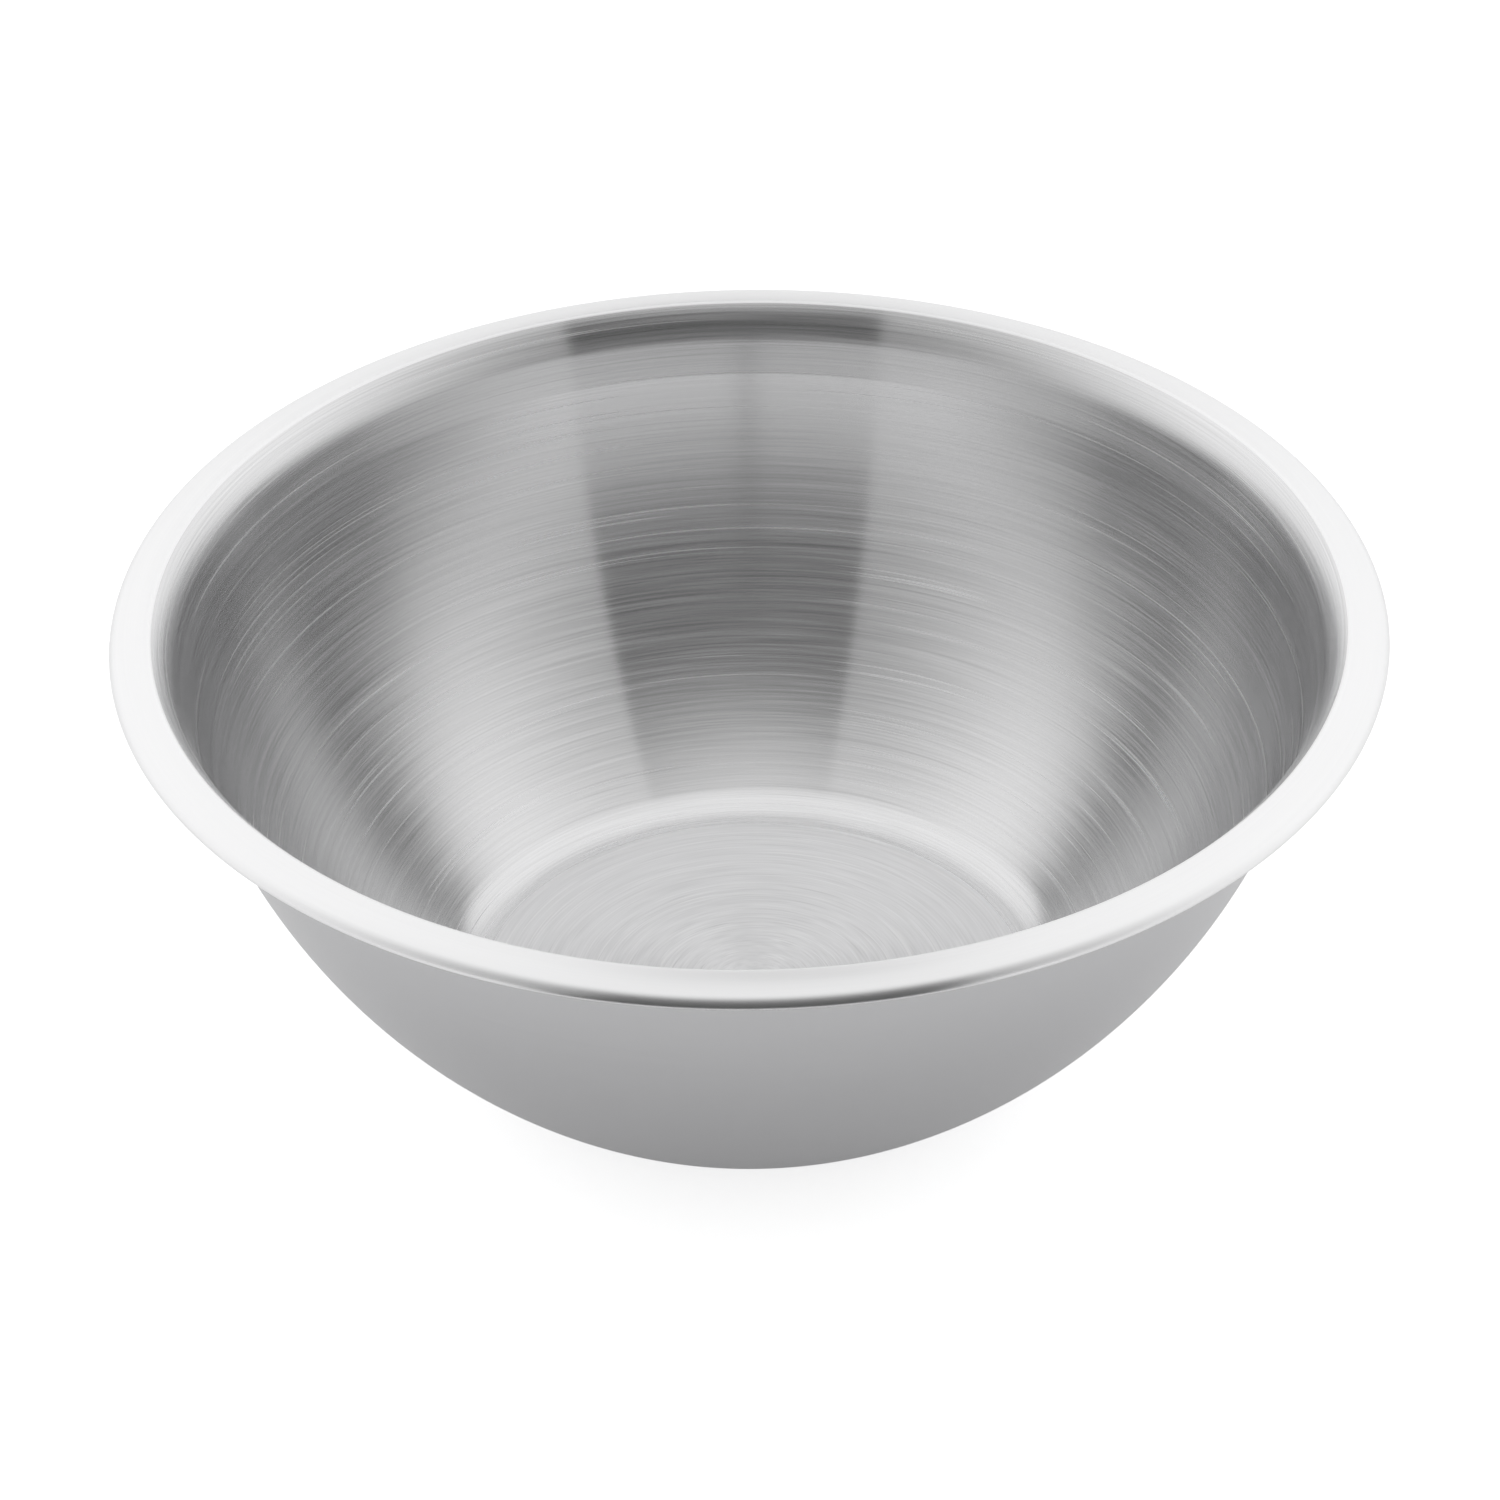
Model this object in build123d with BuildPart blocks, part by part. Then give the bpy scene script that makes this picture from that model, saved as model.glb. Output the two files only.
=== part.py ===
from build123d import *
from math import cos, radians, sin
import os

# Stainless steel mixing bowl, spun from one round sheet, with a rolled rim that slopes outward.
#
# Frame: +Z up, the bowl's axis is Z, and the origin is the centre of the underside it stands on.
# Millimetres. The section is drawn in the XZ plane, as the path of the sheet's inside face.

# Driving dimensions
rim_diameter = 280.0        # over the outermost point of the rolled rim
overall_height = 102.0      # from the table to the top of the rim
sheet = 0.7                 # thickness of the steel sheet
flare_length = 7.5          # straight band between the wall's crease and the rim's lip
hem_length = 5.5            # straight end of the sheet under the rim

# Radii of the inside face, from the floor to the rim
corner_radius = 16.0        # between the flat floor and the wall
crease_radius = 6.0         # faint ring where the wall stops curving inward
lip_radius = 18.0           # the flare leans over towards the rim
throat_radius = 1.5         # tight bend on to the rim's top
crown_radius = 18.0         # doming of the rim's top
edge_radius = 3.0           # the rim's rounded outer edge
curl_radius = 0.9           # tight bend that tucks the edge under

# Slope of the section where one piece of it meets the next, in degrees above the horizontal
wall_foot_slope = 39.0
wall_top_slope = 76.4
flare_slope = 73.6
lip_top_slope = 44.0
crown_outer_slope = -21.0
edge_foot_slope = -70.0
hem_slope = -188.0          # the rolled edge has turned under and points back to the wall


def run(radius, start, end):
    """Horizontal distance that an arc covers while its slope changes from start to end."""
    return radius * abs(sin(radians(end)) - sin(radians(start)))


def rise(radius, start, end):
    """Height that an arc gains while its slope changes from start to end."""
    return radius * abs(cos(radians(start)) - cos(radians(end)))


# The wall's radius makes up the height
band_rise = rise(crease_radius, wall_top_slope, flare_slope) + flare_length * sin(radians(flare_slope))
lip_rise = rise(lip_radius, flare_slope, lip_top_slope) + rise(throat_radius, lip_top_slope, 0)
wall_rise = overall_height - sheet - rise(corner_radius, 0, wall_foot_slope) - band_rise - lip_rise
wall_radius = wall_rise / rise(1, wall_foot_slope, wall_top_slope)

# The floor's radius makes up the diameter
rim_run = (
    run(throat_radius, lip_top_slope, 0)
    + run(crown_radius, 0, crown_outer_slope)
    + run(edge_radius, crown_outer_slope, edge_foot_slope)
    + run(curl_radius, edge_foot_slope, -90)
)
band_run = (
    run(crease_radius, wall_top_slope, flare_slope)
    + flare_length * cos(radians(flare_slope))
    + run(lip_radius, flare_slope, lip_top_slope)
)
wall_run = run(corner_radius, 0, wall_foot_slope) + run(wall_radius, wall_foot_slope, wall_top_slope)
floor_radius = rim_diameter / 2 - rim_run - band_run - wall_run

os.makedirs("parts", exist_ok=True)

# ---- bowl_shell: floor, wall, flare and rolled rim, all one sheet ----
with BuildPart() as bowl_shell:
    with BuildSketch(Plane.XZ) as section:
        with BuildLine() as inside_face:
            floor = Line((0, sheet), (floor_radius, sheet))
            corner = JernArc(floor @ 1, floor % 1, corner_radius, wall_foot_slope)
            wall = JernArc(corner @ 1, corner % 1, wall_radius, wall_top_slope - wall_foot_slope)
            crease = JernArc(wall @ 1, wall % 1, crease_radius, flare_slope - wall_top_slope)
            flare = PolarLine(crease @ 1, flare_length, direction=crease % 1)
            lip = JernArc(flare @ 1, flare % 1, lip_radius, lip_top_slope - flare_slope)
            throat = JernArc(lip @ 1, lip % 1, throat_radius, -lip_top_slope)
            crown = JernArc(throat @ 1, throat % 1, crown_radius, crown_outer_slope)
            edge = JernArc(crown @ 1, crown % 1, edge_radius, edge_foot_slope - crown_outer_slope)
            curl = JernArc(edge @ 1, edge % 1, curl_radius, hem_slope - edge_foot_slope)
            hem = PolarLine(curl @ 1, hem_length, direction=curl % 1)
            offset(amount=sheet, side=Side.RIGHT)
        make_face()
    revolve(axis=Axis.Z)

bowl_shell.part.label = "bowl_shell"
export_step(bowl_shell.part, "parts/bowl_shell.step")

print(f"wall radius {wall_radius:.2f}, flat floor radius {floor_radius:.2f}")
print("size", bowl_shell.part.bounding_box().size)
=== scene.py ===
from math import cos, pi, radians, sin

import bpy
import numpy as np
from mathutils import Matrix, Vector


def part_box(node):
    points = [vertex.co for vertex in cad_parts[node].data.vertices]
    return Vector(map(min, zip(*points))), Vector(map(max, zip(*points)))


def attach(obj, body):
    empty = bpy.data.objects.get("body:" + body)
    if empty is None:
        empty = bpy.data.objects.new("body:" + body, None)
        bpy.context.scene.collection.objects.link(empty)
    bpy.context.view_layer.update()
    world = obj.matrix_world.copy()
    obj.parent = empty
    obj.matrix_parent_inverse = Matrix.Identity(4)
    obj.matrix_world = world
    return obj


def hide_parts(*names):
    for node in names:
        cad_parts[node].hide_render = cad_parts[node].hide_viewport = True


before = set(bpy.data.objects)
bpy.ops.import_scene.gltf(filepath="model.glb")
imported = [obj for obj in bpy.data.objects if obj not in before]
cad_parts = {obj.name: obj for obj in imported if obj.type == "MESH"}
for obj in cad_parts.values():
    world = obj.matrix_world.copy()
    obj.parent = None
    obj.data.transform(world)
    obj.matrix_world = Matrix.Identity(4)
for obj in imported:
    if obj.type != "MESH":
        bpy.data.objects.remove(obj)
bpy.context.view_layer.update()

# Looks for the spun stainless steel mixing bowl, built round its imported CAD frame. Metres.

NODE = "bowl_shell"

# ---- Size, from the frame -------------------------------------------------------------------
base_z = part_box(NODE)[0].z
rim_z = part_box(NODE)[1].z
rim_radius = min(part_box(NODE)[1].xy)

# ---- Section of the sheet: the same arcs as the CAD node's, slopes in degrees ---------------
SHEET = 0.0007
CORNER_RADIUS = 0.016
CREASE_RADIUS = 0.006
LIP_RADIUS = 0.018
THROAT_RADIUS = 0.0015
CROWN_RADIUS = 0.018
EDGE_RADIUS = 0.003
CURL_RADIUS = 0.0009
FLARE_LENGTH = 0.0075       # straight band between the wall's crease and the rim's lip
HEM_LENGTH = 0.0055         # straight end of the sheet under the rim
WALL_FOOT = 39.0
WALL_TOP = 76.4
FLARE_SLOPE = 73.6
LIP_TOP = 44.0
CROWN_OUT = -21.0
EDGE_FOOT = -70.0
HEM_SLOPE = -188.0
SEGMENTS = 384              # steps round the axis
FLOOR_RINGS = 6             # steps from the axis to the floor's edge

# ---- Material slots of the bowl -------------------------------------------------------------
INSIDE, RIM, OUTSIDE, FLOOR = range(4)

# ---- Camera, in rim radii and degrees -------------------------------------------------------
CAMERA_DISTANCE = 10.4899   # from the centre of the rim
CAMERA_ELEVATION = 33.696
CAMERA_ROLL = -0.781
CAMERA_AIM = (-0.0011, 0.0, -0.2656)    # from the centre of the rim
CAMERA_LENS = 160.99        # millimetres, on a 36 mm sensor

# ---- Studio: headings in degrees from the camera's side, elevations in degrees --------------
TENT_FRONT = 0.29           # brightness of the tent beside the camera
TENT_BACK = 0.96            # and behind the bowl
TENT_NEAR = 18.0            # heading at which it starts to brighten
TENT_FAR = 110.0            # heading by which it has reached the brightness behind
ROOF_GLOW = 0.94            # and overhead, the same all round
ROOF_LOW = 45.0             # elevation at which the roof starts
ROOF_HIGH = 75.0
SKIRT_DARK = 0.6            # how much dimmer the tent is low down beside the opening
SKIRT_NEAR = 18.0           # mirrored heading at which it starts to fade
SKIRT_FAR = 42.0
SKIRT_TOP = 16.0            # elevation at which it has faded
GAP_LEFT = -13.9            # opening for the camera, by the wall headings that mirror its edges
GAP_RIGHT = 18.3
GAP_SOFT = 0.2              # half the width of its upright edges
GAP_TOP = 53.0
GAP_TOP_SOFT = 12.0         # half the width of its top edge
GAP_LOW_DARK = 0.10         # brightness seen through it, low down
GAP_HIGH_DARK = 0.08        # and at its top
FLOOR_HALF = 8.0            # half the table's width, in metres
FLOOR_WHITE = 0.90
FLOOR_GLOW = 0.160          # the lit table under the bowl
# Painted shadow of the camera on the table in front of the bowl. Only the bowl's reflection shows it, and
# it darkens the table's colour and glow.
DIM_INNER = 24.0            # headings either side of the camera, out to which the table is dim with the painted shadow
DIM_OUTER = 36.0            # and where it is fully lit again
DIM_NEAR = 1.3              # in rim radii in front of the bowl's axis
DIM_FAR = 2.0
CAMERA_SHADOW_DARK = 0.95
FLOOR_SEEN = 0.565          # extra light that only the camera sees, so that the table looks white


# ---- Node helpers ---------------------------------------------------------------------------
def add(tree, kind, inputs=None, **settings):
    """A new node in tree. An input given a socket is linked to it, and any other is set."""
    made = tree.nodes.new(kind)
    for name, value in settings.items():
        setattr(made, name, value)
    for name, value in (inputs or {}).items():
        if isinstance(value, bpy.types.NodeSocket):
            tree.links.new(value, made.inputs[name])
        else:
            made.inputs[name].default_value = value
    return made


def maths(tree, operation, *values):
    """The result of one Math node."""
    return add(tree, "ShaderNodeMath", dict(enumerate(values)), operation=operation).outputs[0]


def ramp(tree, value, low, high, out_low=0.0, out_high=1.0):
    """value mapped smoothly from low..high to out_low..out_high, and held outside."""
    inputs = {"Value": value, "From Min": low, "From Max": high, "To Min": out_low, "To Max": out_high}
    return add(tree, "ShaderNodeMapRange", inputs, interpolation_type="SMOOTHSTEP").outputs[0]


def ring_noise(tree, around, across, detail=2.0, seed=0.0):
    """Noise drawn out into rings about the bowl's axis, from 0 to 1.

    around is how many cells there are per radian, and across how many per metre of the section."""
    place = add(tree, "ShaderNodeTexCoord").outputs["Object"]
    flat = add(tree, "ShaderNodeVectorMath", {0: place, 1: (1.0, 1.0, 0.0)}, operation="MULTIPLY")
    heading = add(tree, "ShaderNodeVectorMath", {0: flat.outputs[0]}, operation="NORMALIZE")
    turned = add(tree, "ShaderNodeVectorMath", {0: heading.outputs[0], "Scale": around}, operation="SCALE")
    path = add(tree, "ShaderNodeAttribute", attribute_name="path").outputs["Fac"]
    up = add(tree, "ShaderNodeCombineXYZ", {"Z": maths(tree, "MULTIPLY_ADD", path, across, seed)})
    where = add(tree, "ShaderNodeVectorMath", {0: turned.outputs[0], 1: up.outputs[0]}, operation="ADD")
    inputs = {"Vector": where.outputs[0], "Scale": 1.0, "Detail": detail, "Roughness": 0.6}
    return add(tree, "ShaderNodeTexNoise", inputs).outputs[0]


def weigh(tree, *pairs):
    """Sum of (value - 0.5) * weight over the pairs."""
    total = 0.0
    for value, weight in pairs:
        centred = maths(tree, "SUBTRACT", value, 0.5)
        total = maths(tree, "MULTIPLY_ADD", centred, weight, total)
    return total


# ---- Materials ------------------------------------------------------------------------------
def steel(name, tone, roughness, anisotropy, scratch, grain, depth):
    """Stainless steel brushed in rings. scratch is how strongly the lines colour it,
    grain how many lines there are per metre, and depth the height of its relief in metres.

    hair, line and band are ever wider rings. bright and dull are a few single scratches."""
    material = bpy.data.materials.new(name)
    material.use_nodes = True
    tree = material.node_tree
    tree.nodes.clear()
    hair = ring_noise(tree, 3.0, grain, 1.0)
    line = ring_noise(tree, 1.5, grain * 0.45, 1.0, seed=40.0)
    band = ring_noise(tree, 0.8, grain * 0.06, 1.0, seed=90.0)
    bright = ramp(tree, ring_noise(tree, 1.2, grain * 0.9, 0.0, seed=150.0), 0.70, 0.78)
    dull = ramp(tree, ring_noise(tree, 1.6, grain * 0.8, 0.0, seed=210.0), 0.72, 0.80)
    shade = weigh(tree, (hair, scratch), (line, scratch * 0.6), (band, scratch * 0.15))
    shade = maths(tree, "ADD", shade, 1.0)
    shade = maths(tree, "MULTIPLY_ADD", bright, scratch * 0.35, shade)
    shade = maths(tree, "MULTIPLY_ADD", dull, scratch * -0.3, shade)
    colour = add(tree, "ShaderNodeMix", {0: 1.0, 6: (*tone, 1.0)}, data_type="RGBA", blend_type="MULTIPLY")
    grey = add(tree, "ShaderNodeCombineColor", {"Red": shade, "Green": shade, "Blue": shade})
    tree.links.new(grey.outputs[0], colour.inputs[7])
    rough = weigh(tree, (hair, scratch * 0.3), (line, scratch * 0.2), (band, scratch * 0.1))
    rough = maths(tree, "MULTIPLY_ADD", bright, scratch * 0.35, maths(tree, "ADD", rough, roughness))
    relief = maths(tree, "ADD", hair, maths(tree, "MULTIPLY", line, 0.8))
    bump = add(tree, "ShaderNodeBump", {"Strength": 1.0, "Distance": depth, "Height": relief})
    tangent = add(tree, "ShaderNodeTangent", direction_type="RADIAL", axis="Z")
    surface = add(tree, "ShaderNodeBsdfPrincipled", {
        "Base Color": colour.outputs[2],
        "Metallic": 1.0,
        "Roughness": rough,
        "Anisotropic": anisotropy,
        "Anisotropic Rotation": 0.25,
        "Normal": bump.outputs[0],
        "Tangent": tangent.outputs[0],
    })
    add(tree, "ShaderNodeOutputMaterial", {"Surface": surface.outputs[0]})
    return material


# ---- The bowl -------------------------------------------------------------------------------
def rise(radius, start, end):
    """Height that an arc gains while its slope changes from start to end."""
    return radius * abs(cos(radians(start)) - cos(radians(end)))


def bend(rows, radius, end, steps, material):
    """Carry the section on round an arc, until its slope is end."""
    r, z, start, _ = rows[-1]
    end = radians(end)
    turn = 1 if end > start else -1
    centre_r = r - turn * radius * sin(start)
    centre_z = z + turn * radius * cos(start)
    for step in range(1, steps + 1):
        a = start + (end - start) * step / steps
        rows.append((centre_r + turn * radius * sin(a), centre_z - turn * radius * cos(a), a, material))


def straight(rows, length, material):
    """Carry the section straight on."""
    r, z, a, _ = rows[-1]
    rows.append((r + length * cos(a), z + length * sin(a), a, material))


def wall_radius():
    """The wall's radius in section, which makes up the bowl's height."""
    others = SHEET + rise(CORNER_RADIUS, 0, WALL_FOOT) + rise(CREASE_RADIUS, WALL_TOP, FLARE_SLOPE)
    others += FLARE_LENGTH * sin(radians(FLARE_SLOPE))
    others += rise(LIP_RADIUS, FLARE_SLOPE, LIP_TOP) + rise(THROAT_RADIUS, LIP_TOP, 0)
    return (rim_z - base_z - others) / rise(1, WALL_FOOT, WALL_TOP)


def section_path():
    """The sheet's inside face as rows of (radius, height, slope in radians, material)."""
    rows = [(0.0, base_z + SHEET, 0.0, FLOOR)]
    bend(rows, CORNER_RADIUS, WALL_FOOT, 12, INSIDE)
    bend(rows, wall_radius(), WALL_TOP, 34, INSIDE)
    bend(rows, CREASE_RADIUS, FLARE_SLOPE, 2, INSIDE)
    straight(rows, FLARE_LENGTH, INSIDE)
    bend(rows, LIP_RADIUS, LIP_TOP, 8, INSIDE)
    bend(rows, THROAT_RADIUS, 0, 8, RIM)
    bend(rows, CROWN_RADIUS, CROWN_OUT, 8, RIM)
    bend(rows, EDGE_RADIUS, EDGE_FOOT, 10, RIM)
    bend(rows, CURL_RADIUS, HEM_SLOPE, 14, RIM)
    straight(rows, HEM_LENGTH, RIM)
    rows = np.array(rows)
    floor_radius = rim_radius - rows[:, 0].max()
    rows[:, 0] += floor_radius
    share = np.arange(1, FLOOR_RINGS) / FLOOR_RINGS
    floor = [(floor_radius * k, base_z + SHEET, 0.0, FLOOR) for k in share]
    return np.vstack([floor, rows])


def spin(inside, materials):
    """The closed sheet: the inside face spun round the axis, its outside face and its raw edge."""
    path = np.cumsum(np.hypot(*np.diff(inside[:, :2], axis=0, prepend=[[0, inside[0, 1]]]).T))
    outside = inside.copy()
    outside[:, 0] += SHEET * np.sin(inside[:, 2])
    outside[:, 1] -= SHEET * np.cos(inside[:, 2])
    outside[:, 3] = OUTSIDE
    rings = np.vstack([inside, outside[::-1]])
    along = np.concatenate([path, path[::-1]])
    angle = 2 * pi * np.arange(SEGMENTS) / SEGMENTS
    points = np.empty((len(rings), SEGMENTS, 3))
    points[:, :, 0] = rings[:, :1] * np.cos(angle)
    points[:, :, 1] = rings[:, :1] * np.sin(angle)
    points[:, :, 2] = rings[:, 1:2]
    centres = [(0, 0, base_z + SHEET), (0, 0, base_z)]
    vertices = np.vstack([points.reshape(-1, 3), centres])
    faces, slots = [], []
    for ring in range(len(rings) - 1):
        for k in range(SEGMENTS):
            here, there = ring * SEGMENTS + k, ring * SEGMENTS + (k + 1) % SEGMENTS
            faces.append((here, here + SEGMENTS, there + SEGMENTS, there))
            slots.append(int(rings[ring + 1, 3]))
    last = (len(rings) - 1) * SEGMENTS
    for k in range(SEGMENTS):
        after = (k + 1) % SEGMENTS
        faces.append((k, after, len(vertices) - 2))
        slots.append(FLOOR)
        faces.append((last + after, last + k, len(vertices) - 1))
        slots.append(OUTSIDE)
    mesh = bpy.data.meshes.new("bowl")
    mesh.from_pydata(vertices.tolist(), [], faces)
    for material in materials:
        mesh.materials.append(material)
    mesh.polygons.foreach_set("material_index", slots)
    mesh.polygons.foreach_set("use_smooth", [True] * len(faces))
    attribute = mesh.attributes.new("path", "FLOAT", "POINT")
    attribute.data.foreach_set("value", np.concatenate([np.repeat(along, SEGMENTS), [0, 0]]))
    slope = np.concatenate([inside[:, 2], inside[::-1, 2] + pi])
    normals = np.empty_like(points)
    normals[:, :, 0] = -np.sin(slope)[:, None] * np.cos(angle)
    normals[:, :, 1] = -np.sin(slope)[:, None] * np.sin(angle)
    normals[:, :, 2] = np.cos(slope)[:, None]
    upright = [(0, 0, 1), (0, 0, -1)]
    mesh.update()
    mesh.normals_split_custom_set_from_vertices(np.vstack([normals.reshape(-1, 3), upright]).tolist())
    return mesh


def make_bowl():
    """The bowl, standing for the CAD node."""
    inside = steel("steel_brushed_inside", (0.83, 0.83, 0.835),
                   roughness=0.20, anisotropy=1.0, scratch=0.27, grain=2400, depth=3e-6)
    rim = steel("steel_satin_rim", (0.98, 0.98, 0.985),
                roughness=0.30, anisotropy=0.9, scratch=0.03, grain=2600, depth=1e-6)
    outside = steel("steel_smooth_outside", (0.66, 0.66, 0.67),
                    roughness=0.24, anisotropy=0.3, scratch=0.03, grain=1500, depth=0.3e-6)
    floor = steel("steel_brushed_floor", (0.90, 0.90, 0.905),
                  roughness=0.38, anisotropy=0.8, scratch=0.26, grain=2400, depth=3e-6)
    bowl = bpy.data.objects.new("bowl", spin(section_path(), [inside, rim, outside, floor]))
    bpy.context.scene.collection.objects.link(bowl)
    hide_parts(NODE)
    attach(bowl, "root")
    return bowl


# ---- Studio ---------------------------------------------------------------------------------
def make_floor():
    """A wide, lit, matt white table at the bowl's foot. It is dim in front, under the camera,
    where only the bowl sees it: a painted shadow of the camera, which darkens its colour and glow."""
    mesh = bpy.data.meshes.new("floor")
    corners = [(-1, -1), (1, -1), (1, 1), (-1, 1)]
    mesh.from_pydata([(x * FLOOR_HALF, y * FLOOR_HALF, base_z) for x, y in corners], [], [(0, 1, 2, 3)])
    material = bpy.data.materials.new("floor_white")
    material.use_nodes = True
    tree = material.node_tree
    place = add(tree, "ShaderNodeNewGeometry").outputs["Position"]
    x, y, _ = add(tree, "ShaderNodeSeparateXYZ", {0: place}).outputs
    forward = maths(tree, "MULTIPLY", y, -1.0)
    heading = maths(tree, "ABSOLUTE", maths(tree, "ARCTAN2", x, forward))
    ahead = ramp(tree, heading, radians(DIM_INNER), radians(DIM_OUTER), 1.0, 0.0)
    far = ramp(tree, forward, DIM_NEAR * rim_radius, DIM_FAR * rim_radius)
    seen = add(tree, "ShaderNodeLightPath").outputs["Is Camera Ray"]
    unseen = maths(tree, "SUBTRACT", 1.0, seen)
    # painted shadow of the camera: the table's colour and glow are darkened here for all rays but camera
    # rays
    dim = maths(tree, "MULTIPLY", ahead, far)
    dim = maths(tree, "MULTIPLY", dim, maths(tree, "MULTIPLY", unseen, CAMERA_SHADOW_DARK))
    bright = maths(tree, "SUBTRACT", 1.0, dim)
    white = maths(tree, "MULTIPLY", bright, FLOOR_WHITE)
    glow = maths(tree, "MULTIPLY_ADD", seen, FLOOR_SEEN, maths(tree, "MULTIPLY", bright, FLOOR_GLOW))
    surface = tree.nodes["Principled BSDF"]
    grey = add(tree, "ShaderNodeCombineColor", {"Red": white, "Green": white, "Blue": white})
    tree.links.new(grey.outputs[0], surface.inputs["Base Color"])
    surface.inputs["Roughness"].default_value = 1.0
    surface.inputs["Specular IOR Level"].default_value = 0.0
    surface.inputs["Emission Color"].default_value = (1.0, 1.0, 1.0, 1.0)
    tree.links.new(glow, surface.inputs["Emission Strength"])
    mesh.materials.append(material)
    floor = bpy.data.objects.new("floor", mesh)
    bpy.context.scene.collection.objects.link(floor)


def make_world():
    """A white tent, dimmer beside the camera, with a dark opening that the camera looks through.

    The opening's upright edges are bent so that the bowl's wall mirrors each along one heading."""
    world = bpy.data.worlds.new("studio")
    bpy.context.scene.world = world
    world.use_nodes = True
    tree = world.node_tree
    tree.nodes.clear()
    way = add(tree, "ShaderNodeTexCoord").outputs["Generated"]
    x, y, z = add(tree, "ShaderNodeSeparateXYZ", {0: way}).outputs
    forward = maths(tree, "MULTIPLY", y, -1.0)
    turned = maths(tree, "ABSOLUTE", maths(tree, "ARCTAN2", x, forward))
    mirrored = maths(tree, "ARCTAN2", x, maths(tree, "ADD", forward, cos(radians(CAMERA_ELEVATION))))
    height = maths(tree, "ARCSINE", z)
    tent = ramp(tree, turned, radians(TENT_NEAR), radians(TENT_FAR), TENT_FRONT, TENT_BACK)
    roof = ramp(tree, height, radians(ROOF_LOW), radians(ROOF_HIGH))
    light = add(tree, "ShaderNodeMix", {0: roof, 2: tent, 3: ROOF_GLOW}, data_type="FLOAT").outputs[0]
    off_gap = maths(tree, "ABSOLUTE", mirrored)
    skirt = ramp(tree, off_gap, radians(SKIRT_NEAR), radians(SKIRT_FAR), SKIRT_DARK, 0.0)
    skirt = maths(tree, "MULTIPLY", skirt, ramp(tree, height, 0.0, radians(SKIRT_TOP), 1.0, 0.0))
    light = maths(tree, "MULTIPLY", light, maths(tree, "SUBTRACT", 1.0, skirt))
    left = ramp(tree, mirrored, radians(GAP_LEFT - GAP_SOFT), radians(GAP_LEFT + GAP_SOFT))
    right = ramp(tree, mirrored, radians(GAP_RIGHT - GAP_SOFT), radians(GAP_RIGHT + GAP_SOFT), 1.0, 0.0)
    under = ramp(tree, height, radians(GAP_TOP - GAP_TOP_SOFT), radians(GAP_TOP + GAP_TOP_SOFT), 1.0, 0.0)
    gap = maths(tree, "MULTIPLY", maths(tree, "MULTIPLY", left, right), under)
    dark = ramp(tree, height, 0.0, radians(GAP_TOP), GAP_LOW_DARK, GAP_HIGH_DARK)
    light = add(tree, "ShaderNodeMix", {0: gap, 2: light, 3: dark}, data_type="FLOAT").outputs[0]
    tent = add(tree, "ShaderNodeBackground", {"Color": (1, 1, 1, 1), "Strength": light})
    plain = add(tree, "ShaderNodeBackground", {"Color": (1, 1, 1, 1), "Strength": 1.0})
    seen = add(tree, "ShaderNodeLightPath").outputs["Is Camera Ray"]
    mixed = add(tree, "ShaderNodeMixShader", {0: seen, 1: tent.outputs[0], 2: plain.outputs[0]})
    add(tree, "ShaderNodeOutputWorld", {"Surface": mixed.outputs[0]})


def make_camera():
    """A long lens, at the height and angle the bowl was seen from, tipped a little to one side."""
    rim_centre = Vector((0, 0, rim_z))
    tilt, roll = radians(CAMERA_ELEVATION), radians(CAMERA_ROLL)
    place = rim_centre + Vector((0, -cos(tilt), sin(tilt))) * CAMERA_DISTANCE * rim_radius
    forward = (rim_centre + Vector(CAMERA_AIM) * rim_radius - place).normalized()
    level = forward.cross(Vector((0, 0, 1))).normalized()
    upright = level.cross(forward)
    right = level * cos(roll) + upright * sin(roll)
    up = upright * cos(roll) - level * sin(roll)
    data = bpy.data.cameras.new("camera")
    data.lens = CAMERA_LENS
    camera = bpy.data.objects.new("camera", data)
    camera.matrix_world = Matrix.Translation(place) @ Matrix((right, up, -forward)).transposed().to_4x4()
    bpy.context.scene.collection.objects.link(camera)
    bpy.context.scene.camera = camera


make_bowl()
make_floor()
make_world()
make_camera()
bpy.context.scene.view_settings.view_transform = "Standard"
